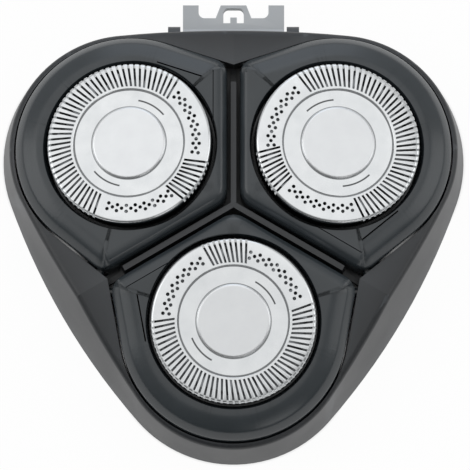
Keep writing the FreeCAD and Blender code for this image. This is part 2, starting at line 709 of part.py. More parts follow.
def make_lock_knob():
    body = new_body("lock_knob")
    hub_floor = D["spider_floor"] - D["hub_play"] - D["hub_depth"]
    wheel_top = hub_floor - D["hub_play"]
    bar_floor = D["spider_floor"] + D["socket_floor"] + D["hub_play"]
    wheel = new_sketch(body, "WheelOutline", "XY_Plane", (0, 0, wheel_top))
    draw_circle(wheel, (size(0), size(0)), D["knob_radius"])
    pad(body, wheel, D["knob_depth"], "Wheel", reverse=True)
    notch = new_sketch(body, "GripNotchOutline", "XY_Plane", (0, 0, wheel_top))
    draw_circle(notch, (D["knob_radius"] + D["knob_notch_radius"] / 2, size(0)), D["knob_notch_radius"])
    grip = pocket(body, notch, "GripNotch", D["knob_depth"])
    repeat_round(body, [grip], "GripNotches", D["knob_notches"])
    wing = new_sketch(body, "WingOutline", "XY_Plane", (0, 0, wheel_top - D["knob_depth"]))
    wing_end = D["knob_wing_length"] / 2
    wing_half = D["lock_bar_width"] / 2
    draw_outline(wing, [(wing_end, -wing_half), (wing_end, wing_half), (-wing_end, wing_half),
                        (-wing_end, -wing_half)])
    pad(body, wing, D["knob_wing_depth"], "Wing", reverse=True)
    stem = new_sketch(body, "StemOutline", "XY_Plane", (0, 0, wheel_top))
    draw_circle(stem, (size(0), size(0)), D["knob_stem_radius"])
    pad(body, stem, bar_floor + D["lock_bar_depth"] - wheel_top, "Stem")
    bar = new_sketch(body, "LockBarOutline", "XY_Plane", (0, 0, bar_floor))
    bar_end = D["lock_bar_length"] / 2
    draw_outline(bar, [(bar_end, -wing_half), (bar_end, wing_half), (-bar_end, wing_half),
                       (-bar_end, -wing_half)])
    pad(body, bar, D["lock_bar_depth"], "LockBar")
    return body


def place_on_head(body, angle):
    """Stand a piece drawn about its own upright axis on the track plane of a head."""
    text = "; ".join([(-D["head_reach"]).text, D["head_height"].text])
    body.setExpression("Placement", around_middle(angle) + "placement(vector(0; %s); "
                       "rotation(vector(1; 0; 0); %s))" % (text, D["head_lean"].text))


# Guards: thin steel caps with slanted slots in two zones and round holes between them

def make_guard(head, angle, bead_turn):
    body = new_body("guard_" + head)
    sheet_foot = -D["band_drop"] - D["guard_sheet"]
    shoulder = D["guard_shoulder"]
    inner_shoulder = shoulder - D["guard_wall"]
    outer = D["guard_radius"]
    inner = outer - D["guard_wall"]
    step = D["band_drop"]
    flange_top = D["flange_depth"] - D["guard_depth"]
    section = new_sketch(body, "GuardSection_" + head, "YZ_Plane")
    draw_outline(section, [
        (D["cap_spigot_radius"], sheet_foot),
        (D["track_inner_radius"] - step, sheet_foot),
        (D["track_inner_radius"], -D["guard_sheet"]),
        (outer - shoulder, -D["guard_sheet"], inner_shoulder, -1),
        (inner, -D["guard_sheet"] - inner_shoulder),
        (inner, -D["guard_depth"]),
        (D["flange_radius"], -D["guard_depth"]),
        (D["flange_radius"], flange_top),
        (outer, flange_top),
        (outer, -shoulder, shoulder, 1),
        (outer - shoulder, size(0)),
        (D["track_inner_radius"], size(0)),
        (D["track_inner_radius"] - step, -D["band_drop"]),
        (D["cap_spigot_radius"], -D["band_drop"]),
    ])
    spin(body, section, "GuardCap_" + head)

    bead = new_sketch(body, "BeadOutline_" + head, "XY_Plane", (0, 0, -D["band_drop"] * 2))
    inside = D["bead_radius"] - D["bead_width"] / 2
    outside_radius = D["bead_radius"] + D["bead_width"] / 2
    half_sweep = D["bead_sweep"] / 2
    corners = (polar(inside, bead_turn + half_sweep), polar(inside, bead_turn - half_sweep),
               polar(outside_radius, bead_turn - half_sweep), polar(outside_radius, bead_turn + half_sweep))
    draw_outline(bead, [(corners[0][0], corners[0][1], inside, -1), corners[1],
                        (corners[2][0], corners[2][1], outside_radius, 1), corners[3]])
    arc = pad(body, bead, D["band_drop"] + D["bead_rise"], "Bead_" + head)
    repeat_round(body, [arc], "Beads_" + head, 2)

    slot_zone(body, head, "Outer", -90, D["outer_slots"])
    slot_zone(body, head, "Inner", 90, D["inner_slots"])
    for side, sense in (("Left", 1), ("Right", -1)):
        hole_zone(body, head, side, sense)
    place_on_head(body, angle)
    return body


def slot_zone(body, head, zone, heading, count):
    """A fan of slanted slots centred on a heading, cut down through the track and its shoulder."""
    first = heading - (count - 1) * D["slot_pitch"] / 2
    near = D["track_inner_radius"] + D["guard_sheet"]
    far = D["guard_radius"] + D["guard_wall"]
    near_half = half_angle(D["slot_width"], near)
    far_half = half_angle(D["slot_width"], far)
    sketch = new_sketch(body, zone + "SlotOutline_" + head, "XY_Plane")
    draw_outline(sketch, [
        polar(near, first - D["slot_slant"] - near_half),
        polar(far, first - far_half),
        polar(far, first + far_half),
        polar(near, first - D["slot_slant"] + near_half),
    ])
    slot = pocket(body, sketch, zone + "Slot_" + head, D["slot_depth"])
    repeat_round(body, [slot], zone + "Slots_" + head, count, (count - 1) * D["slot_pitch"])


def hole_zone(body, head, side, sense):
    """Alternate radial pairs and single round holes between two fans of slots."""
    pairs = D["stub_hole_pairs"]
    start = (D["inner_slots"] - 1) / 2 + D["stub_hole_lead"]
    length = (pairs - 1) * 2
    first = start if sense > 0 else -start - length
    middle = (D["track_inner_radius"] + D["guard_radius"] - D["guard_shoulder"]) / 2
    spread = D["stub_hole_spread"]
    pair = new_sketch(body, side + "PairOutline_" + head, "XY_Plane")
    heading = 90 + first * D["slot_pitch"]
    draw_circle(pair, polar(middle - spread, heading), D["stub_hole_radius"])
    draw_circle(pair, polar(middle + spread, heading), D["stub_hole_radius"])
    pair_cut = pocket(body, pair, side + "Pair_" + head, D["slot_depth"])
    repeat_round(body, [pair_cut], side + "Pairs_" + head, pairs, length * D["slot_pitch"])
    single = new_sketch(body, side + "SingleOutline_" + head, "XY_Plane")
    draw_circle(single, polar(middle, heading + D["slot_pitch"]), D["stub_hole_radius"])
    single_cut = pocket(body, single, side + "Single_" + head, D["slot_depth"])
    repeat_round(body, [single_cut], side + "Singles_" + head, pairs - 1, (length - 2) * D["slot_pitch"])


# Head caps: discs pressed into the guards, each with the pin on which its cutter turns

def make_head_cap(head, angle):
    body = new_body("head_cap_" + head)
    section = new_sketch(body, "CapSection_" + head, "YZ_Plane")
    rim = D["cap_radius"]
    edge = D["cap_rise"] + D["band_drop"]
    draw_outline(section, [
        (size(0), -D["cap_pin_drop"]),
        (D["cap_pin_radius"], -D["cap_pin_drop"]),
        (D["cap_pin_radius"], -D["cap_spigot_drop"]),
        (D["cap_spigot_radius"], -D["cap_spigot_drop"]),
        (D["cap_spigot_radius"], -D["band_drop"]),
        (rim, -D["band_drop"], edge, 1),
        (rim - edge, D["cap_rise"]),
        (size(0), D["cap_rise"]),
    ])
    spin(body, section, "Cap_" + head)
    place_on_head(body, angle)
    return body


# Cutters: steel rings with leaning blades, riveted on a moulded carrier with a drive socket

def make_cutter(head, angle):
    body = new_body("cutter_" + head)
    ring_top = -D["cutter_ring_drop"]
    ring = new_sketch(body, "CutterRingOutline_" + head, "XY_Plane", (0, 0, ring_top))
    draw_circle(ring, (size(0), size(0)), D["cutter_outer_radius"] - D["cutter_ring_depth"])
    draw_circle(ring, (size(0), size(0)), D["cap_spigot_radius"])
    pad(body, ring, D["cutter_ring_depth"], "CutterRing_" + head, reverse=True)
    blade = new_sketch(body, "CutterBladeProfile_" + head, "YZ_Plane", (0, 0, D["cutter_inner_radius"]))
    half = D["cutter_blade_thickness"] / 2
    edge = -D["guard_sheet"] - D["cutter_play"]
    foot = ring_top - D["cutter_ring_depth"] / 2
    lean = D["cutter_rake"]
    draw_outline(blade, [(-half, foot), (half, foot), (half + lean, edge), (lean - half, edge)])
    one = pad(body, blade, D["cutter_outer_radius"] - D["cutter_inner_radius"], "CutterBlade_" + head)
    repeat_round(body, [one], "CutterBlades_" + head, D["cutter_blades"])
    place_on_head(body, angle)
    return body


def make_carrier(head, angle):
    body = new_body("cutter_carrier_" + head)
    wheel_top = -D["cutter_ring_drop"] - D["cutter_ring_depth"]
    wheel_foot = wheel_top - D["carrier_depth"]
    hub = D["carrier_hub_radius"]
    rim = D["cutter_outer_radius"] - D["cutter_ring_depth"] * 2
    bore = D["cap_pin_radius"] + D["running_fit"]
    bore_foot = -D["cap_pin_drop"] - D["running_fit"] * 2
    section = new_sketch(body, "CarrierSection_" + head, "YZ_Plane")
    draw_outline(section, [
        (size(0), -D["carrier_foot_drop"]),
        (hub, -D["carrier_foot_drop"]),
        (hub, wheel_foot),
        (rim, wheel_foot),
        (rim, wheel_top),
        (bore, wheel_top),
        (bore, bore_foot),
        (size(0), bore_foot),
    ])
    spin(body, section, "Carrier_" + head)
    window = new_sketch(body, "CarrierWindowOutline_" + head, "XY_Plane", (0, 0, wheel_top))
    near = hub + D["carrier_depth"]
    far = rim - D["carrier_rim"]
    sweep = D["carrier_window_sweep"] / 2
    corners = (polar(near, -sweep), polar(far, -sweep), polar(far, sweep), polar(near, sweep))
    draw_outline(window, [corners[0], (corners[1][0], corners[1][1], far, 1), corners[2],
                          (corners[3][0], corners[3][1], near, -1)])
    one = pocket(body, window, "CarrierWindow_" + head, D["carrier_depth"])
    repeat_round(body, [one], "CarrierWindows_" + head, D["carrier_windows"])
    socket = new_sketch(body, "DriveSocketOutline_" + head, "XY_Plane", (0, 0, -D["carrier_foot_drop"]))
    draw_outline(socket, [polar(D["drive_socket_radius"], 60 * corner) for corner in range(6)])
    pocket(body, socket, "DriveSocket_" + head, D["drive_socket_depth"], reverse=True)
    place_on_head(body, angle)
    return body


# Finger springs: steel rings on the retaining rings that press the guards up into their shells

def make_finger_spring(head, angle):
    body = new_body("finger_spring_" + head)
    foot = -D["ring_drop"]
    ring = new_sketch(body, "SpringRingOutline_" + head, "XY_Plane", (0, 0, foot))
    inner = D["ring_inner_radius"] + D["running_fit"]
    draw_circle(ring, (size(0), size(0)), D["ring_outer_radius"] - D["running_fit"])
    draw_circle(ring, (size(0), size(0)), inner)
    pad(body, ring, D["spring_strip"], "SpringRing_" + head)
    finger = new_sketch(body, "SpringFingerProfile_" + head, "YZ_Plane",
                        (0, 0, D["guard_radius"] - D["spring_finger_width"] / 2))
    start = -D["spring_finger_run"] / 2
    end = D["spring_finger_run"] / 2
    top = -D["guard_depth"] - D["hub_play"]
    pad_length = D["spring_pad_length"]
    draw_outline(finger, [
        (start, foot),
        (start + pad_length, foot),
        (end - pad_length, top - D["spring_strip"]),
        (end, top - D["spring_strip"]),
        (end, top),
        (end - pad_length, top),
        (start + pad_length, foot + D["spring_strip"]),
        (start, foot + D["spring_strip"]),
    ])
    one = pad(body, finger, D["spring_finger_width"], "SpringFinger_" + head)
    repeat_round(body, [one], "SpringFingers_" + head, D["spring_fingers"])
    place_on_head(body, angle)
    return body


# Hinge bracket at the rear and the steel pin on which it folds

def make_hinge_bracket():
    body = new_body("hinge_bracket")
    half = D["bracket_half_width"]
    barrel = new_sketch(body, "BarrelOutline", "YZ_Plane")
    draw_circle(barrel, (D["hinge_reach"], D["hinge_height"]), D["barrel_radius"])
    pad(body, barrel, half * 2, "Barrel", both_ways=True)
    plate = new_sketch(body, "PlateOutline", "XY_Plane", (0, 0, D["hinge_height"]))
    loop_foot = D["loop_half_base"]
    loop_end = D["loop_half_top"]
    prong = half - D["prong_width"]
    root_round = D["bracket_plate"] / 2
    draw_outline(plate, [
        (half, D["hinge_reach"]),
        (half, D["bracket_reach"]),
        (prong, D["bracket_reach"]),
        (prong, D["bracket_bar_reach"] + root_round, root_round, -1),
        (prong - root_round, D["bracket_bar_reach"]),
        (loop_foot, D["bracket_bar_reach"]),
        (loop_end, D["bracket_reach"]),
        (-loop_end, D["bracket_reach"]),
        (-loop_foot, D["bracket_bar_reach"]),
        (root_round - prong, D["bracket_bar_reach"], root_round, -1),
        (-prong, D["bracket_bar_reach"] + root_round),
        (-prong, D["bracket_reach"]),
        (-half, D["bracket_reach"]),
        (-half, D["hinge_reach"]),
    ])
    pad(body, plate, D["bracket_plate"], "Plate", both_ways=True)
    opening = new_sketch(body, "LoopOpeningOutline", "XY_Plane", (0, 0, D["hinge_height"]))
    opening_half = D["loop_opening_half"]
    opening_end = D["bracket_reach"] - D["loop_end_bar"]
    opening_foot = opening_end - D["loop_opening_length"]
    crown = opening_half / 2
    nub = D["nub_half_width"]
    nub_end = opening_foot + D["nub_length"]
    draw_outline(opening, [
        (opening_half, opening_foot),
        (opening_half, opening_end - crown, crown, 1),
        (opening_half - crown, opening_end),
        (crown - opening_half, opening_end, crown, 1),
        (-opening_half, opening_end - crown),
        (-opening_half, opening_foot),
        (-nub, opening_foot),
        (-nub, nub_end),
        (nub, nub_end),
        (nub, opening_foot),
    ])
    pocket(body, opening, "LoopOpening", D["bracket_plate"] * 2, both_ways=True)
    bore = new_sketch(body, "BarrelBoreOutline", "YZ_Plane")
    draw_circle(bore, (D["hinge_reach"], D["hinge_height"]), D["hinge_pin_radius"] + D["running_fit"])
    pocket(body, bore, "BarrelBore", half * 2, both_ways=True)
    return body


def make_hinge_pin():
    body = new_body("hinge_pin")
    section = new_sketch(body, "PinOutline", "YZ_Plane")
    draw_circle(section, (D["hinge_reach"], D["hinge_height"]), D["hinge_pin_radius"])
    length = (D["bracket_half_width"] + D["bracket_play"] + D["hinge_lug_length"]) * 2
    pad(body, section, length, "Pin", both_ways=True)
    return body


# Assembly

nodes = [make_outer_frame(), make_retaining_frame(), make_lock_knob()]
for head, angle in HEADS:
    nodes.append(make_head_shell(head, angle))
    nodes.append(make_guard(head, angle, D["bead_heading"] - angle))
    nodes.append(make_head_cap(head, angle))
    nodes.append(make_cutter(head, angle))
    nodes.append(make_carrier(head, angle))
    nodes.append(make_finger_spring(head, angle))
nodes.append(make_hinge_bracket())
nodes.append(make_hinge_pin())
doc.recompute()

for thing in doc.Objects:
    if "Invalid" in thing.State or "Error" in thing.State:
        raise RuntimeError("%s did not build" % thing.Label)
    if thing.TypeId.startswith("PartDesign::") and not thing.Shape.isNull() and not thing.Shape.isValid():
        raise RuntimeError("%s has a faulty shape" % thing.Label)
for node in nodes:
    if node.Shape.isNull() or not node.Shape.isValid() or len(node.Shape.Solids) != 1:
        raise RuntimeError("%s is not one valid solid" % node.Label)
os.makedirs("parts", exist_ok=True)
for node in nodes:
    node.Shape.exportStep("parts/%s.step" % node.Label)
    print(node.Label, len(node.Shape.Solids), "solid", round(node.Shape.Volume, 2), "cubic mm")
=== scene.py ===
import math

import bmesh
import bpy
from mathutils import Matrix, Vector


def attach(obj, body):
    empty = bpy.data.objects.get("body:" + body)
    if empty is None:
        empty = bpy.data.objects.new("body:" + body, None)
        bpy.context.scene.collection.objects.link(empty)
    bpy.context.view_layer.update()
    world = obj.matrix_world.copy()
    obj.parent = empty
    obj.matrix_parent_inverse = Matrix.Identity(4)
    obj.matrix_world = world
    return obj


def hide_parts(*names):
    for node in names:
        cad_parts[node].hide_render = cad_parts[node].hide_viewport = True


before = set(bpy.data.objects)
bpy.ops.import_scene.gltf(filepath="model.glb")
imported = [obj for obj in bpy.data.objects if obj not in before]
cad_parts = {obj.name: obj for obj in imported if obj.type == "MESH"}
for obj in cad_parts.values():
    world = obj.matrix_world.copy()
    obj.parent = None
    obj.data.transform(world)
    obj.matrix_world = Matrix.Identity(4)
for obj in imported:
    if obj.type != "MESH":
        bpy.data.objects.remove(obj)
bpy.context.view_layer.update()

MM = 0.001

# Outer frame: one injection moulding with the skirt, the Y blade and the notch bosses.
# Black ABS from a finely spark-eroded mould: a soft sheen that breaks up in a faint grain,
# a cool grey where it catches the lamps, and edges worn a little brighter by handling.


def linear(hex_colour):
    """sRGB hex digits to the linear colour that a socket takes."""
    parts = [int(hex_colour[place:place + 2], 16) / 255 for place in (0, 2, 4)]
    spread = [part / 12.92 if part <= 0.04045 else ((part + 0.055) / 1.055) ** 2.4 for part in parts]
    return (*spread, 1.0)


def add_node(tree, kind, settings=None, links=None):
    """Add a node: settings are its properties or input values, links are input to output socket."""
    node = tree.nodes.new(kind)
    for name, value in (settings or {}).items():
        if isinstance(name, str) and hasattr(node, name):
            setattr(node, name, value)
        else:
            node.inputs[name].default_value = value
    for name, source in (links or {}).items():
        tree.links.new(source, node.inputs[name])
    return node


def new_material(name):
    material = bpy.data.materials.new(name)
    material.use_nodes = True
    material.node_tree.nodes.clear()
    return material, material.node_tree


def finish_material(tree, shader):
    add_node(tree, "ShaderNodeOutputMaterial", links={"Surface": shader.outputs[0]})


# Size of the mottle, the pointiness at which an edge starts to wear and is fully worn, the mould
# grain, and how far the gloss strays from a material's own roughness.
FLOW_MARK = 6 * MM
WORN_TONE = "8A9096"
EDGE_SHOWS_FROM = 0.52
EDGE_SHOWS_FULLY = 0.62
GRAIN_HEIGHT = 0.01 * MM
GRAIN_STRENGTH = 0.25
GLOSSIER_BY = 0.05
DULLER_BY = 0.06


def moulded_plastic(name, base, sheen_tone, roughness, grain_mm, ior, edge_wear=0.35):
    """Injection moulded plastic: mottled colour, uneven gloss, fine mould grain, lighter edges."""
    material, tree = new_material(name)
    place = add_node(tree, "ShaderNodeTexCoord").outputs["Object"]
    flow = add_node(tree, "ShaderNodeTexNoise", {"Scale": 1 / FLOW_MARK, "Detail": 4.0}, {"Vector": place})
    grain = add_node(tree, "ShaderNodeTexNoise", {"Scale": 1 / (grain_mm * MM), "Detail": 3.0},
                     {"Vector": place})
    tone = add_node(tree, "ShaderNodeMix", {"data_type": "RGBA", 6: linear(base), 7: linear(sheen_tone)},
                    {0: flow.outputs[0]})
    edge = add_node(tree, "ShaderNodeNewGeometry")
    wear = add_node(tree, "ShaderNodeMapRange",
                    {"From Min": EDGE_SHOWS_FROM, "From Max": EDGE_SHOWS_FULLY, "To Max": edge_wear},
                    {"Value": edge.outputs["Pointiness"]})
    worn = add_node(tree, "ShaderNodeMix", {"data_type": "RGBA", 7: linear(WORN_TONE)},
                    {0: wear.outputs[0], 6: tone.outputs[2]})
    gloss = add_node(tree, "ShaderNodeMapRange",
                     {"To Min": roughness - GLOSSIER_BY, "To Max": roughness + DULLER_BY},
                     {"Value": flow.outputs[0]})
    bump = add_node(tree, "ShaderNodeBump", {"Strength": GRAIN_STRENGTH, "Distance": GRAIN_HEIGHT},
                    {"Height": grain.outputs[0]})
    shader = add_node(tree, "ShaderNodeBsdfPrincipled", {"IOR": ior},
                      {"Base Color": worn.outputs[2], "Roughness": gloss.outputs[0],
                       "Normal": bump.outputs[0]})
    finish_material(tree, shader)
    return material


def dress(node, material):
    """Give a CAD node its finish through its own material slots."""
    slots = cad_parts[node].data.materials
    slots.clear()
    slots.append(material)


frame_abs = moulded_plastic("frame_moulded_abs", "14171A", "1B1F23", 0.42, 0.12, 1.53, edge_wear=0.12)
dress("outer_frame", frame_abs)

# Head shells: three petal mouldings that rock in the frame, of a slightly bluer, smoother ABS.
# Each keeps its moulded body below the seam. Above it the top is rolled: a soft shallow bevel, a lip
# that turns down into the seam, and a mouth that leaves a dark gap round the guard.
HEADS = ("front", "right", "left")
HEAD_TURN = {"front": 0, "right": 120, "left": 240}
HEAD_REACH = 16.5 * MM
HEAD_HEIGHT = 14.4 * MM
HEAD_LEAN = math.radians(8.0)
# The flat top below the track plane, and where the rolled top starts on the moulded body.
TOP_DROP = 1.4 * MM
SEAM_DROP = 3.55 * MM
MOUTH_RADIUS = 12.0 * MM
OUTLINE_STEP = 0.3 * MM
SAME_POINT = 0.0005 * MM
ON_CUT = 0.0001 * MM
CRISP_SHELL_EDGE = 38
OUTLINE_SMOOTHINGS = 24
# A side that faces the middle of the unit by more than the first value has a smaller roll, and
# after the second value more it has lost the third, as a share of the roll along the skirt.
BLADE_SIDE_FROM = 0.30
BLADE_SIDE_OVER = 0.45
BLADE_SIDE_LOSS = 0.5
# Distance in from the outline and depth below the top, in millimetres.
LIP_PROFILE = ((0.05, 2.05), (0.15, 1.90), (0.35, 1.62), (0.60, 1.30), (0.85, 1.01), (1.05, 0.81),
               (1.25, 0.69), (1.60, 0.53), (2.10, 0.33), (2.60, 0.16), (3.00, 0.06), (3.40, 0.0))
# Share of the way down to the seam, and radius there in millimetres.
MOUTH_STEPS = ((0.03, 11.96), (0.08, 11.90), (0.50, 11.74), (0.96, 11.52))


def head_place(head):
    """The matrix from a head's own frame, on its track plane, to the frame of the whole unit."""
    turn = Matrix.Rotation(math.radians(HEAD_TURN[head]), 4, "Z")
    axis = turn @ Vector((0, -math.sin(HEAD_LEAN), math.cos(HEAD_LEAN)))
    lean = Vector((0, 0, 1)).rotation_difference(axis).to_matrix().to_4x4()
    return Matrix.Translation(turn @ Vector((0, -HEAD_REACH, HEAD_HEIGHT))) @ lean


def lip_depth(inset):
    """Depth of the rolled top, in metres, at a distance in from the outline."""
    reached = inset / MM
    for (near, near_depth), (far, far_depth) in zip(LIP_PROFILE, LIP_PROFILE[1:]):
        if reached <= far:
            share = max(0.0, (reached - near) / (far - near))
            return (near_depth + (far_depth - near_depth) * share) * MM
    return 0.0


def join_rings(mesh, outer, inner):
    """Faces between two rings of vertices; where both share a vertex the face is a triangle."""
    count = len(outer)
    for index in range(count):
        following = (index + 1) % count
        corners = []
        for corner in (outer[index], outer[following], inner[following], inner[index]):
            if corner not in corners:
                corners.append(corner)
        if len(corners) > 2:
            mesh.faces.new(corners)


def stitch_rings(mesh, ring, rim):
    """Triangles between two closed rings about the axis whose vertices do not match."""
    def heading(vertex):
        return math.atan2(vertex.co.y, vertex.co.x)

    first = sorted(ring, key=heading)
    second = sorted(rim, key=heading)
    near = far = 0
    while near < len(first) or far < len(second):
        here = first[near % len(first)]
        there = second[far % len(second)]
        next_here = first[(near + 1) % len(first)]
        next_there = second[(far + 1) % len(second)]
        here_turn = heading(next_here) + (math.tau if near + 1 >= len(first) else 0)
        there_turn = heading(next_there) + (math.tau if far + 1 >= len(second) else 0)
        if far >= len(second) or (near < len(first) and here_turn <= there_turn):
            mesh.faces.new((here, next_here, there))
            near += 1
        else:
            mesh.faces.new((here, next_there, there))
            far += 1


def soften(mesh, angle):
    """Smooth shading, with the edges that turn by more than an angle in degrees left crisp."""
    for face in mesh.faces:
        face.smooth = True
    for edge in mesh.edges:
        edge.smooth = len(edge.link_faces) == 2 and edge.calc_face_angle() < math.radians(angle)


def finished_piece(name, mesh, place, material, node, body):
    """Store a mesh built in a head's own frame as a piece that takes a CAD node's place."""
    bmesh.ops.recalc_face_normals(mesh, faces=mesh.faces)
    mesh.transform(place)
    data = bpy.data.meshes.new(name)
    mesh.to_mesh(data)
    mesh.free()
    data.materials.append(material)
    piece = bpy.data.objects.new(name, data)
    bpy.context.scene.collection.objects.link(piece)
    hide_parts(node)
    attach(piece, body)


def rolled_shell(head, material):
    """A head shell: the CAD moulding below the seam, and a rolled top built on its outline."""
    place = head_place(head)
    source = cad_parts["head_shell_" + head]
    mesh = bmesh.new()
    mesh.from_mesh(source.data)
    mesh.transform(place.inverted() @ source.matrix_world)
    bmesh.ops.remove_doubles(mesh, verts=mesh.verts, dist=SAME_POINT)
    bmesh.ops.bisect_plane(mesh, geom=mesh.verts[:] + mesh.edges[:] + mesh.faces[:], dist=ON_CUT,
                           plane_co=(0, 0, -SEAM_DROP), plane_no=(0, 0, 1), clear_outer=True)
    rim = [edge for edge in mesh.edges if edge.is_boundary]
    bore_rim = [edge for edge in rim if max(end.co.xy.length for end in edge.verts) < MOUTH_RADIUS]
    for edge in [edge for edge in rim if edge not in bore_rim]:
        cuts = int(edge.calc_length() / OUTLINE_STEP)
        if cuts > 0:
            bmesh.ops.subdivide_edges(mesh, edges=[edge], cuts=cuts)
    bore_ends = {end for edge in bore_rim for end in edge.verts}
    outline = sorted({end for edge in mesh.edges if edge.is_boundary for end in edge.verts} - bore_ends,
                     key=lambda end: math.atan2(end.co.y, end.co.x))
    count = len(outline)
    normals = []
    for index in range(count):
        along = outline[(index + 1) % count].co - outline[index - 1].co
        normals.append(Vector((along.y, -along.x, 0)).normalized())
    for _ in range(OUTLINE_SMOOTHINGS):
        normals = [(normals[index - 1] + 2 * normals[index] + normals[(index + 1) % count]).normalized()
                   for index in range(count)]

    # Beside the blade the roll is only half as large as it is along the skirt.
    turned = math.radians(HEAD_TURN[head])
    inward = Vector((-math.sin(turned), math.cos(turned), 0))
    rolls = []
    for normal in normals:
        faced = min(1.0, max(0.0, (normal.dot(inward) - BLADE_SIDE_FROM) / BLADE_SIDE_OVER))
        rolls.append(1.0 - BLADE_SIDE_LOSS * faced * faced * (3 - 2 * faced))
    ring = outline
    at_mouth = [False] * count
    for inset, _ in LIP_PROFILE:
        following = []
        for index in range(count):
            if at_mouth[index]:
                following.append(ring[index])
                continue
            foot = Vector((outline[index].co.x, outline[index].co.y, 0))
            reached = inset * MM * rolls[index]
            spot = foot - normals[index] * reached
            if spot.length < MOUTH_RADIUS:
                across = foot.dot(normals[index])
                reached = across - math.sqrt(across ** 2 - foot.length ** 2 + MOUTH_RADIUS ** 2)
                spot = foot - normals[index] * reached
                at_mouth[index] = True
            drop = lip_depth(reached / rolls[index]) * rolls[index]
            following.append(mesh.verts.new((spot.x, spot.y, -TOP_DROP - drop)))
        join_rings(mesh, ring, following)
        ring = following
    mouth = []
    for index in range(count):
        if at_mouth[index]:
            mouth.append(ring[index])
        else:
            spot = ring[index].co.xy.normalized() * MOUTH_RADIUS
            mouth.append(mesh.verts.new((spot.x, spot.y, -TOP_DROP)))
    join_rings(mesh, ring, mouth)
    ring = mouth
    for share, radius in MOUTH_STEPS:
        following = []
        for index in range(count):
            spot = mouth[index].co.xy.normalized() * radius * MM
            height = mouth[index].co.z + (-SEAM_DROP - mouth[index].co.z) * share
            following.append(mesh.verts.new((spot.x, spot.y, height)))
        join_rings(mesh, ring, following)
        ring = following
    stitch_rings(mesh, ring, bore_ends)
    bmesh.ops.remove_doubles(mesh, verts=mesh.verts, dist=SAME_POINT)
    soften(mesh, CRISP_SHELL_EDGE)
    finished_piece("shell_rolled_" + head, mesh, place, material,
                   "head_shell_" + head, "shell_" + head)


shell_abs = moulded_plastic("shell_moulded_abs", "282D30", "33393D", 0.24, 0.20, 1.53, edge_wear=0.0)
for head in HEADS:
    dress("head_shell_" + head, shell_abs)
    rolled_shell(head, shell_abs)

# Retaining frame and lock knob: glass filled nylon, matt and a little mottled, clipped underneath.
retainer_nylon = moulded_plastic("retainer_filled_nylon", "2B2D2F", "3A3D40", 0.52, 0.10, 1.53)
knob_nylon = moulded_plastic("knob_grey_nylon", "6C7074", "7C8084", 0.48, 0.10, 1.53)
dress("retaining_frame", retainer_nylon)
dress("lock_knob", knob_nylon)

# Hinge bracket: light grey acetal, dull and even, turning on a steel pin.
bracket_acetal = moulded_plastic("bracket_grey_acetal", "B4B7BA", "C2C5C7", 0.46, 0.09, 1.48)
dress("hinge_bracket", bracket_acetal)

# Guards, head caps and cutters: stainless steel. The guards are pressed, slotted and then lapped on
# their faces, which leaves a bright ring with fine concentric scratches. Their arcs are drawn dark,
# and the steps and their wall down in the gap carry painted shade, so that the gap round each reads black.
ARC_HEADING = {"front": 41.5, "right": 115.0, "left": 58.6}
ARC_SWEEP = 39.0
# Where the drawn arcs and the painted shade begin and end, in millimetres from the head's axis or below
# its track plane.
ARC_BAND = (6.0, 6.22)
OUTER_STEP_SHADE = (7.47, 7.66)
INNER_STEP_SHADE = (5.06, 5.2)
GAP_WALL_REACH = (10.8, 13.0)
GAP_WALL_DEPTH = (1.0, 9.0)
GAP_WALL_BLUR = 0.15
# Size of the smears, the gloss on both sides of a steel's own roughness, and the turned rings.
SMEAR_MARK = 2.5 * MM
STEEL_GLOSSIER_BY = 0.06
STEEL_DULLER_BY = 0.08
RING_STRENGTH = 0.15
RING_HEIGHT = 0.004 * MM
# The wave texture turns by this many radians for each unit of its scale.
WAVE_TURN = 20


def between(tree, amount, low_mm, high_mm, blur_mm=0.03):
    """1 where an amount in metres lies between two sizes in millimetres, with a soft edge."""
    rise = add_node(tree, "ShaderNodeMapRange", {"From Min": (low_mm - blur_mm) * MM,
                                                 "From Max": (low_mm + blur_mm) * MM}, {"Value": amount})
    fall = add_node(tree, "ShaderNodeMapRange", {"From Min": (high_mm - blur_mm) * MM,
                                                 "From Max": (high_mm + blur_mm) * MM,
                                                 "To Min": 1.0, "To Max": 0.0}, {"Value": amount})
    return add_node(tree, "ShaderNodeMath", {"operation": "MULTIPLY"},
                    {0: rise.outputs[0], 1: fall.outputs[0]}).outputs[0]


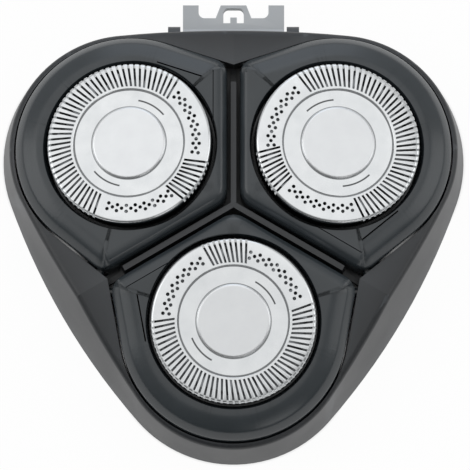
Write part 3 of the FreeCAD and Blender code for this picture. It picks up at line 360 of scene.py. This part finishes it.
def turned_steel(name, base, shade, roughness, ring_mm, head, marks_and_shade=False):
    """Steel worked on a lathe or lap: fine rings round the head's axis, mottled gloss."""
    material, tree = new_material(name)
    local = head_place(head).inverted()
    place = add_node(tree, "ShaderNodeTexCoord").outputs["Object"]
    centred = add_node(tree, "ShaderNodeMapping", {"Rotation": local.to_euler(),
                                                    "Location": local.to_translation()},
                       {"Vector": place}).outputs[0]
    rings = add_node(tree, "ShaderNodeTexWave", {"wave_type": "RINGS", "rings_direction": "Z",
                                                  "Scale": math.tau / (WAVE_TURN * ring_mm * MM),
                                                  "Distortion": 0.4, "Detail": 2.0, "Detail Scale": 3.0},
                     {"Vector": centred})
    smear = add_node(tree, "ShaderNodeTexNoise", {"Scale": 1 / SMEAR_MARK, "Detail": 5.0},
                     {"Vector": place})
    tone = add_node(tree, "ShaderNodeMix", {"data_type": "RGBA", 6: linear(shade), 7: linear(base)},
                    {0: smear.outputs[0]}).outputs[2]
    gloss = add_node(tree, "ShaderNodeMapRange",
                     {"To Min": roughness - STEEL_GLOSSIER_BY, "To Max": roughness + STEEL_DULLER_BY},
                     {"Value": smear.outputs[0]})
    if marks_and_shade:
        tone = paint_guard_marks_and_shade(tree, centred, tone, head)
    bump = add_node(tree, "ShaderNodeBump", {"Strength": RING_STRENGTH, "Distance": RING_HEIGHT},
                    {"Height": rings.outputs[0]})
    shader = add_node(tree, "ShaderNodeBsdfPrincipled", {"Metallic": 1.0},
                      {"Base Color": tone, "Roughness": gloss.outputs[0], "Normal": bump.outputs[0]})
    finish_material(tree, shader)
    return material


def paint_guard_marks_and_shade(tree, centred, tone, head):
    """Darken the two arcs on the band, and paint shade on the steps at both its edges and on the wall in
    the gap.
    """
    parts = add_node(tree, "ShaderNodeSeparateXYZ", links={0: centred})
    flat = add_node(tree, "ShaderNodeCombineXYZ", links={0: parts.outputs[0], 1: parts.outputs[1]})
    reach = add_node(tree, "ShaderNodeVectorMath", {"operation": "LENGTH"},
                     {0: flat.outputs[0]}).outputs["Value"]
    angle = add_node(tree, "ShaderNodeMath", {"operation": "ARCTAN2"},
                     {0: parts.outputs[1], 1: parts.outputs[0]})
    # Both arcs are half a turn apart, so the angle is counted in half turns from the first.
    halves = add_node(tree, "ShaderNodeMath",
                      {"operation": "MULTIPLY_ADD", 1: 1 / math.pi, 2: 0.5 - ARC_HEADING[head] / 180},
                      {0: angle.outputs[0]})
    share = add_node(tree, "ShaderNodeMath", {"operation": "FLOORED_MODULO", 1: 1.0},
                     {0: halves.outputs[0]})
    off_middle = add_node(tree, "ShaderNodeMath", {"operation": "COMPARE", 1: 0.5, 2: ARC_SWEEP / 360},
                          {0: share.outputs[0]})
    arcs = add_node(tree, "ShaderNodeMath", {"operation": "MULTIPLY"},
                    {0: between(tree, reach, *ARC_BAND), 1: off_middle.outputs[0]})
    # Painted shade on the guard's wall down in the gap round it, so that the gap reads black.
    depth = add_node(tree, "ShaderNodeMath", {"operation": "MULTIPLY", 1: -1.0}, {0: parts.outputs[2]})
    painted_gap_shade = add_node(tree, "ShaderNodeMath", {"operation": "MULTIPLY"},
                        {0: between(tree, depth.outputs[0], *GAP_WALL_DEPTH, GAP_WALL_BLUR),
                         1: between(tree, reach, *GAP_WALL_REACH)})
    # The arcs are drawn dark; the two steps and the gap wall get painted shade.
    for mask, hex_colour, strength in ((arcs.outputs[0], "2A2C2E", 0.9),
                                       (between(tree, reach, *OUTER_STEP_SHADE), "3A3C3E", 0.75),
                                       (between(tree, reach, *INNER_STEP_SHADE), "303234", 0.7),
                                       (painted_gap_shade.outputs[0], "141516", 0.92)):
        amount = add_node(tree, "ShaderNodeMath", {"operation": "MULTIPLY", 1: strength}, {0: mask})
        tone = add_node(tree, "ShaderNodeMix", {"data_type": "RGBA", 7: linear(hex_colour)},
                        {0: amount.outputs[0], 6: tone}).outputs[2]
    return tone


# One pressed sheet serves all three guards: it is cut once and turned into each seat. Slots fan out
# towards the middle of the unit and away from it, with rows of round holes between them.
# Sizes here are in millimetres and degrees, the section is reach from the axis and height.
GUARD_WALL = 11.27
GUARD_SHEET = 0.36
GUARD_FOOT = 5.1
SPIGOT_RADIUS = 4.03
GUARD_TURN = {"front": 7.0, "right": -5.3, "left": -1.1}
GUARD_SECTION = ((SPIGOT_RADIUS, -0.52), (7.49, -0.52), (7.65, -GUARD_SHEET), (10.75, -GUARD_SHEET),
                 (10.79, -0.45), (10.79, -GUARD_FOOT), (12.0, -GUARD_FOOT), (12.0, -4.5),
                 (11.1, -4.5), (11.1, -2.9), (GUARD_WALL, -2.7), (GUARD_WALL, -0.51), (11.24, -0.36),
                 (11.15, -0.22), (11.02, -0.13), (10.87, -0.09), (7.74, -0.09), (7.68, -0.13),
                 (7.62, -0.24), (7.50, -0.24), (7.42, -0.17), (SPIGOT_RADIUS, -0.17))
# Heading of a fan's middle, number of its slots, and the angle from slot to slot.
FANS = ((0.0, 9, 3.91), (180.0, 46, 4.26))
SLOT_NEAR = 8.02
SLOT_FAR = 11.8
SLOT_WIDTH = 0.31
SLOT_SLANT = 3.3
SLOT_FLOOR = -0.95
HOLE_REACH = 9.25
HOLE_SPREAD = 0.42
HOLE_RADIUS = 0.25
HOLE_LEAD = 21.1
HOLE_STEP = 3.97
HOLE_STEPS = 15
CUT_TOP = 0.4
HOLE_SIDES = 16
GUARD_SIDES = 240
CRISP_GUARD_EDGE = 28
# The cut is made at a thousand times the real size, where the boolean is steady.
CUTTING_SCALE = 1000


def round_spot(reach, heading, height):
    """A point in metres from a reach and height in millimetres and a heading in degrees."""
    turned = math.radians(heading)
    return Vector((reach * math.cos(turned), reach * math.sin(turned), height)) * MM


def cut_guard():
    """The guard's mesh in its own frame, with the inner fan of slots pointing along X."""
    body = bmesh.new()
    section = [body.verts.new(round_spot(reach, 0, height)) for reach, height in GUARD_SECTION]
    edges = [body.edges.new((section[index - 1], section[index])) for index in range(len(section))]
    bmesh.ops.spin(body, geom=section + edges, cent=(0, 0, 0), axis=(0, 0, 1), angle=math.tau,
                   steps=GUARD_SIDES, use_merge=True, use_duplicate=False)
    bmesh.ops.recalc_face_normals(body, faces=body.faces)
    cutter = bmesh.new()
    for middle, slots, pitch in FANS:
        for index in range(slots):
            heading = middle + (index - (slots - 1) / 2) * pitch
            near_half = math.degrees(SLOT_WIDTH / 2 / SLOT_NEAR)
            far_half = math.degrees(SLOT_WIDTH / 2 / SLOT_FAR)
            plan = ((SLOT_NEAR, heading - SLOT_SLANT - near_half), (SLOT_FAR, heading - far_half),
                    (SLOT_FAR, heading + far_half), (SLOT_NEAR, heading - SLOT_SLANT + near_half))
            low = [cutter.verts.new(round_spot(reach, turned, SLOT_FLOOR)) for reach, turned in plan]
            high = [cutter.verts.new(round_spot(reach, turned, CUT_TOP)) for reach, turned in plan]
            cutter.faces.new(low[::-1])
            cutter.faces.new(high)
            for corner in range(4):
                cutter.faces.new((low[corner - 1], low[corner], high[corner], high[corner - 1]))
    for side in (1, -1):
        for step in range(HOLE_STEPS):
            heading = side * (HOLE_LEAD + step * HOLE_STEP)
            offsets = (HOLE_SPREAD, -HOLE_SPREAD) if step % 2 == 0 else (0.0,)
            for offset in offsets:
                spot = round_spot(HOLE_REACH + offset, heading, (SLOT_FLOOR + CUT_TOP) / 2)
                bmesh.ops.create_cone(cutter, cap_ends=True, segments=HOLE_SIDES, radius1=HOLE_RADIUS * MM,
                                      radius2=HOLE_RADIUS * MM, depth=(CUT_TOP - SLOT_FLOOR) * MM,
                                      matrix=Matrix.Translation(spot))
    bmesh.ops.recalc_face_normals(cutter, faces=cutter.faces)
    holders = []
    for name, part in (("guard_blank", body), ("guard_cutter", cutter)):
        data = bpy.data.meshes.new(name)
        part.to_mesh(data)
        part.free()
        holder = bpy.data.objects.new(name, data)
        holder.scale = (CUTTING_SCALE, CUTTING_SCALE, CUTTING_SCALE)
        bpy.context.scene.collection.objects.link(holder)
        holders.append(holder)
    blank, tool = holders
    cut = blank.modifiers.new("slots", "BOOLEAN")
    cut.operation = "DIFFERENCE"
    cut.solver = "EXACT"
    cut.object = tool
    bpy.context.view_layer.update()
    evaluated = blank.evaluated_get(bpy.context.evaluated_depsgraph_get())
    result = bpy.data.meshes.new_from_object(evaluated)
    for holder in holders:
        spare = holder.data
        bpy.data.objects.remove(holder)
        bpy.data.meshes.remove(spare)
    return result


guard_mesh = cut_guard()
for head in HEADS:
    steel = turned_steel("guard_lapped_steel_painted_shade_" + head, "E2E4E5", "C4C7C9", 0.22, 0.12, head, marks_and_shade=True)
    dress("guard_" + head, steel)
    seated = bmesh.new()
    seated.from_mesh(guard_mesh)
    inward = 90 + HEAD_TURN[head] + GUARD_TURN[head]
    seated.transform(Matrix.Rotation(math.radians(inward), 4, "Z"))
    bmesh.ops.remove_doubles(seated, verts=seated.verts, dist=SAME_POINT)
    soften(seated, CRISP_GUARD_EDGE)
    finished_piece("guard_pressed_" + head, seated, head_place(head), steel, "guard_" + head,
                   "guard_" + head)
    dress("head_cap_" + head,
          turned_steel("cap_satin_steel_" + head, "E0E2E3", "D0D2D4", 0.36, 0.09, head))
    dress("cutter_" + head,
          turned_steel("cutter_ground_steel_" + head, "8A8D90", "6C6F72", 0.32, 0.10, head))
bpy.data.meshes.remove(guard_mesh)

# Cutter carriers, finger springs and hinge pin: moulded acetal, rolled spring strip, drawn wire.
carrier_acetal = moulded_plastic("carrier_black_acetal", "26282A", "323436", 0.42, 0.09, 1.48)
for head in HEADS:
    dress("cutter_carrier_" + head, carrier_acetal)
    dress("finger_spring_" + head,
          turned_steel("spring_rolled_steel_" + head, "9DA0A2", "7F8284", 0.33, 0.15, head))
dress("hinge_pin", turned_steel("pin_drawn_steel", "B4B7B9", "94979A", 0.30, 0.10, "front"))

# Floor: a plain pale sheet that keeps the head's shadow and shows as white around it.
FLOOR_HALF = 1.5
WHITE_SHARE = 0.96
floor_mesh = bpy.data.meshes.new("studio_floor")
sheet = bmesh.new()
bmesh.ops.create_grid(sheet, x_segments=1, y_segments=1, size=FLOOR_HALF)
sheet.to_mesh(floor_mesh)
sheet.free()
floor = bpy.data.objects.new("studio_floor", floor_mesh)
bpy.context.scene.collection.objects.link(floor)
floor_paper, floor_tree = new_material("floor_white_paper")
paper = add_node(floor_tree, "ShaderNodeBsdfDiffuse", {"Color": linear("F2F2F2")})
bright_paper = add_node(floor_tree, "ShaderNodeEmission", {"Strength": 1.0})
floor_path = add_node(floor_tree, "ShaderNodeLightPath")
seen_or_mirrored = add_node(floor_tree, "ShaderNodeMath", {"operation": "MAXIMUM"},
                            {0: floor_path.outputs["Is Camera Ray"],
                             1: floor_path.outputs["Is Glossy Ray"]})
through = add_node(floor_tree, "ShaderNodeMath", {"operation": "MAXIMUM"},
                   {0: seen_or_mirrored.outputs[0], 1: floor_path.outputs["Is Transmission Ray"]})
floor_place = add_node(floor_tree, "ShaderNodeTexCoord").outputs["Object"]
# Under the skirt no light gets in, so the paper there keeps its own shade. The four discs cover the
# skirt's foot: middle and radius in millimetres, and the width of their soft edge.
FOOTPRINT = (((0, 0), 24.0), ((0, -16.5), 16.6), ((14.29, 8.25), 16.6), ((-14.29, 8.25), 16.6))
FOOTPRINT_EDGE = 1
open_floor = None
for (across, along), radius in FOOTPRINT:
    apart = add_node(floor_tree, "ShaderNodeVectorMath",
                     {"operation": "DISTANCE", 1: (across * MM, along * MM, 0)}, {0: floor_place})
    clear = add_node(floor_tree, "ShaderNodeMapRange",
                     {"From Min": radius * MM, "From Max": (radius + FOOTPRINT_EDGE) * MM},
                     {"Value": apart.outputs["Value"]})
    if open_floor is None:
        open_floor = clear
    else:
        open_floor = add_node(floor_tree, "ShaderNodeMath", {"operation": "MINIMUM"},
                              {0: open_floor.outputs[0], 1: clear.outputs[0]})
white_share = add_node(floor_tree, "ShaderNodeMath", {"operation": "MULTIPLY", 1: WHITE_SHARE},
                       {0: through.outputs[0]})
lift = add_node(floor_tree, "ShaderNodeMath", {"operation": "MULTIPLY"},
                {0: white_share.outputs[0], 1: open_floor.outputs[0]})
white_floor = add_node(floor_tree, "ShaderNodeMixShader",
                       links={0: lift.outputs[0], 1: paper.outputs[0], 2: bright_paper.outputs[0]})
# Seen from below, the sheet lets the underside of the head show.
under = add_node(floor_tree, "ShaderNodeNewGeometry")
clear_sheet = add_node(floor_tree, "ShaderNodeBsdfTransparent")
open_below = add_node(floor_tree, "ShaderNodeMixShader",
                      links={0: under.outputs["Backfacing"], 1: white_floor.outputs[0],
                             2: clear_sheet.outputs[0]})
finish_material(floor_tree, open_below)
floor_mesh.materials.append(floor_paper)

# Light: one wide soft box overhead, a weak fill from the front, and large boxes at both sides and
# behind, whose reflections lie along the rolled edges, as on a product table.


def soft_box(name, place, size, watts, tint="FFFFFF"):
    """A square lamp aimed at the origin, hidden from the camera but not from the reflections."""
    lamp = bpy.data.lights.new(name, "AREA")
    lamp.color = linear(tint)[:3]
    lamp.shape = "SQUARE"
    lamp.size = size
    lamp.energy = watts
    holder = bpy.data.objects.new(name, lamp)
    holder.location = place
    holder.rotation_euler = (Vector() - Vector(place)).to_track_quat("-Z", "Y").to_euler()
    holder.visible_camera = False
    bpy.context.scene.collection.objects.link(holder)


soft_box("overhead_box", (-0.08, 0.16, 0.70), 0.90, 1.5)
soft_box("front_fill", (0.25, -0.55, 0.35), 0.25, 0.25)
soft_box("left_box", (-0.62, 0.05, 0.42), 0.48, 0.95)
soft_box("right_box", (0.62, 0.05, 0.42), 0.48, 0.85)
soft_box("rear_box", (0.0, 0.66, 0.34), 0.50, 0.80, "DDE6F4")

# The room dims towards the front of the unit, between two places along the direction of view's Y.
DIM_FROM = -0.8
PALE_FROM = 0.1
DIM_STRENGTH = 0.14
PALE_STRENGTH = 0.60
world = bpy.data.worlds.new("pale_studio")
bpy.context.scene.world = world
world.use_nodes = True
world_tree = world.node_tree
world_tree.nodes.clear()
path = add_node(world_tree, "ShaderNodeLightPath")
seen = add_node(world_tree, "ShaderNodeMath", {"operation": "MAXIMUM"},
                {0: path.outputs["Is Camera Ray"], 1: path.outputs["Is Transmission Ray"]})
sky = add_node(world_tree, "ShaderNodeTexCoord").outputs["Generated"]
height = add_node(world_tree, "ShaderNodeSeparateXYZ", links={0: sky})
shade = add_node(world_tree, "ShaderNodeMapRange",
                 {"From Min": DIM_FROM, "From Max": PALE_FROM,
                  "To Min": DIM_STRENGTH, "To Max": PALE_STRENGTH},
                 {"Value": height.outputs["Y"]})
room = add_node(world_tree, "ShaderNodeBackground", {"Color": linear("FFFFFF")},
                {"Strength": shade.outputs[0]})
backdrop = add_node(world_tree, "ShaderNodeBackground", {"Color": linear("FFFFFF"), "Strength": 1.0})
both = add_node(world_tree, "ShaderNodeMixShader", links={0: seen.outputs[0], 1: room.outputs[0],
                                                          2: backdrop.outputs[0]})
add_node(world_tree, "ShaderNodeOutputWorld", links={"Surface": both.outputs[0]})

# Camera: a long lens, eleven degrees off vertical towards the front head.
ELEVATION = math.radians(79.0)
CAMERA_REACH = 2.0
FRAME_WIDTH = 64.03 * MM
aim = Vector((0.2 * MM, -4.58 * MM, 14.4 * MM))
lens = bpy.data.cameras.new("product_camera")
lens.lens = lens.sensor_width * CAMERA_REACH / FRAME_WIDTH
camera = bpy.data.objects.new("product_camera", lens)
camera.location = aim + CAMERA_REACH * Vector((0, -math.cos(ELEVATION), math.sin(ELEVATION)))
camera.rotation_euler = (aim - camera.location).to_track_quat("-Z", "Y").to_euler()
bpy.context.scene.collection.objects.link(camera)
bpy.context.scene.camera = camera
bpy.context.scene.view_settings.view_transform = "Standard"
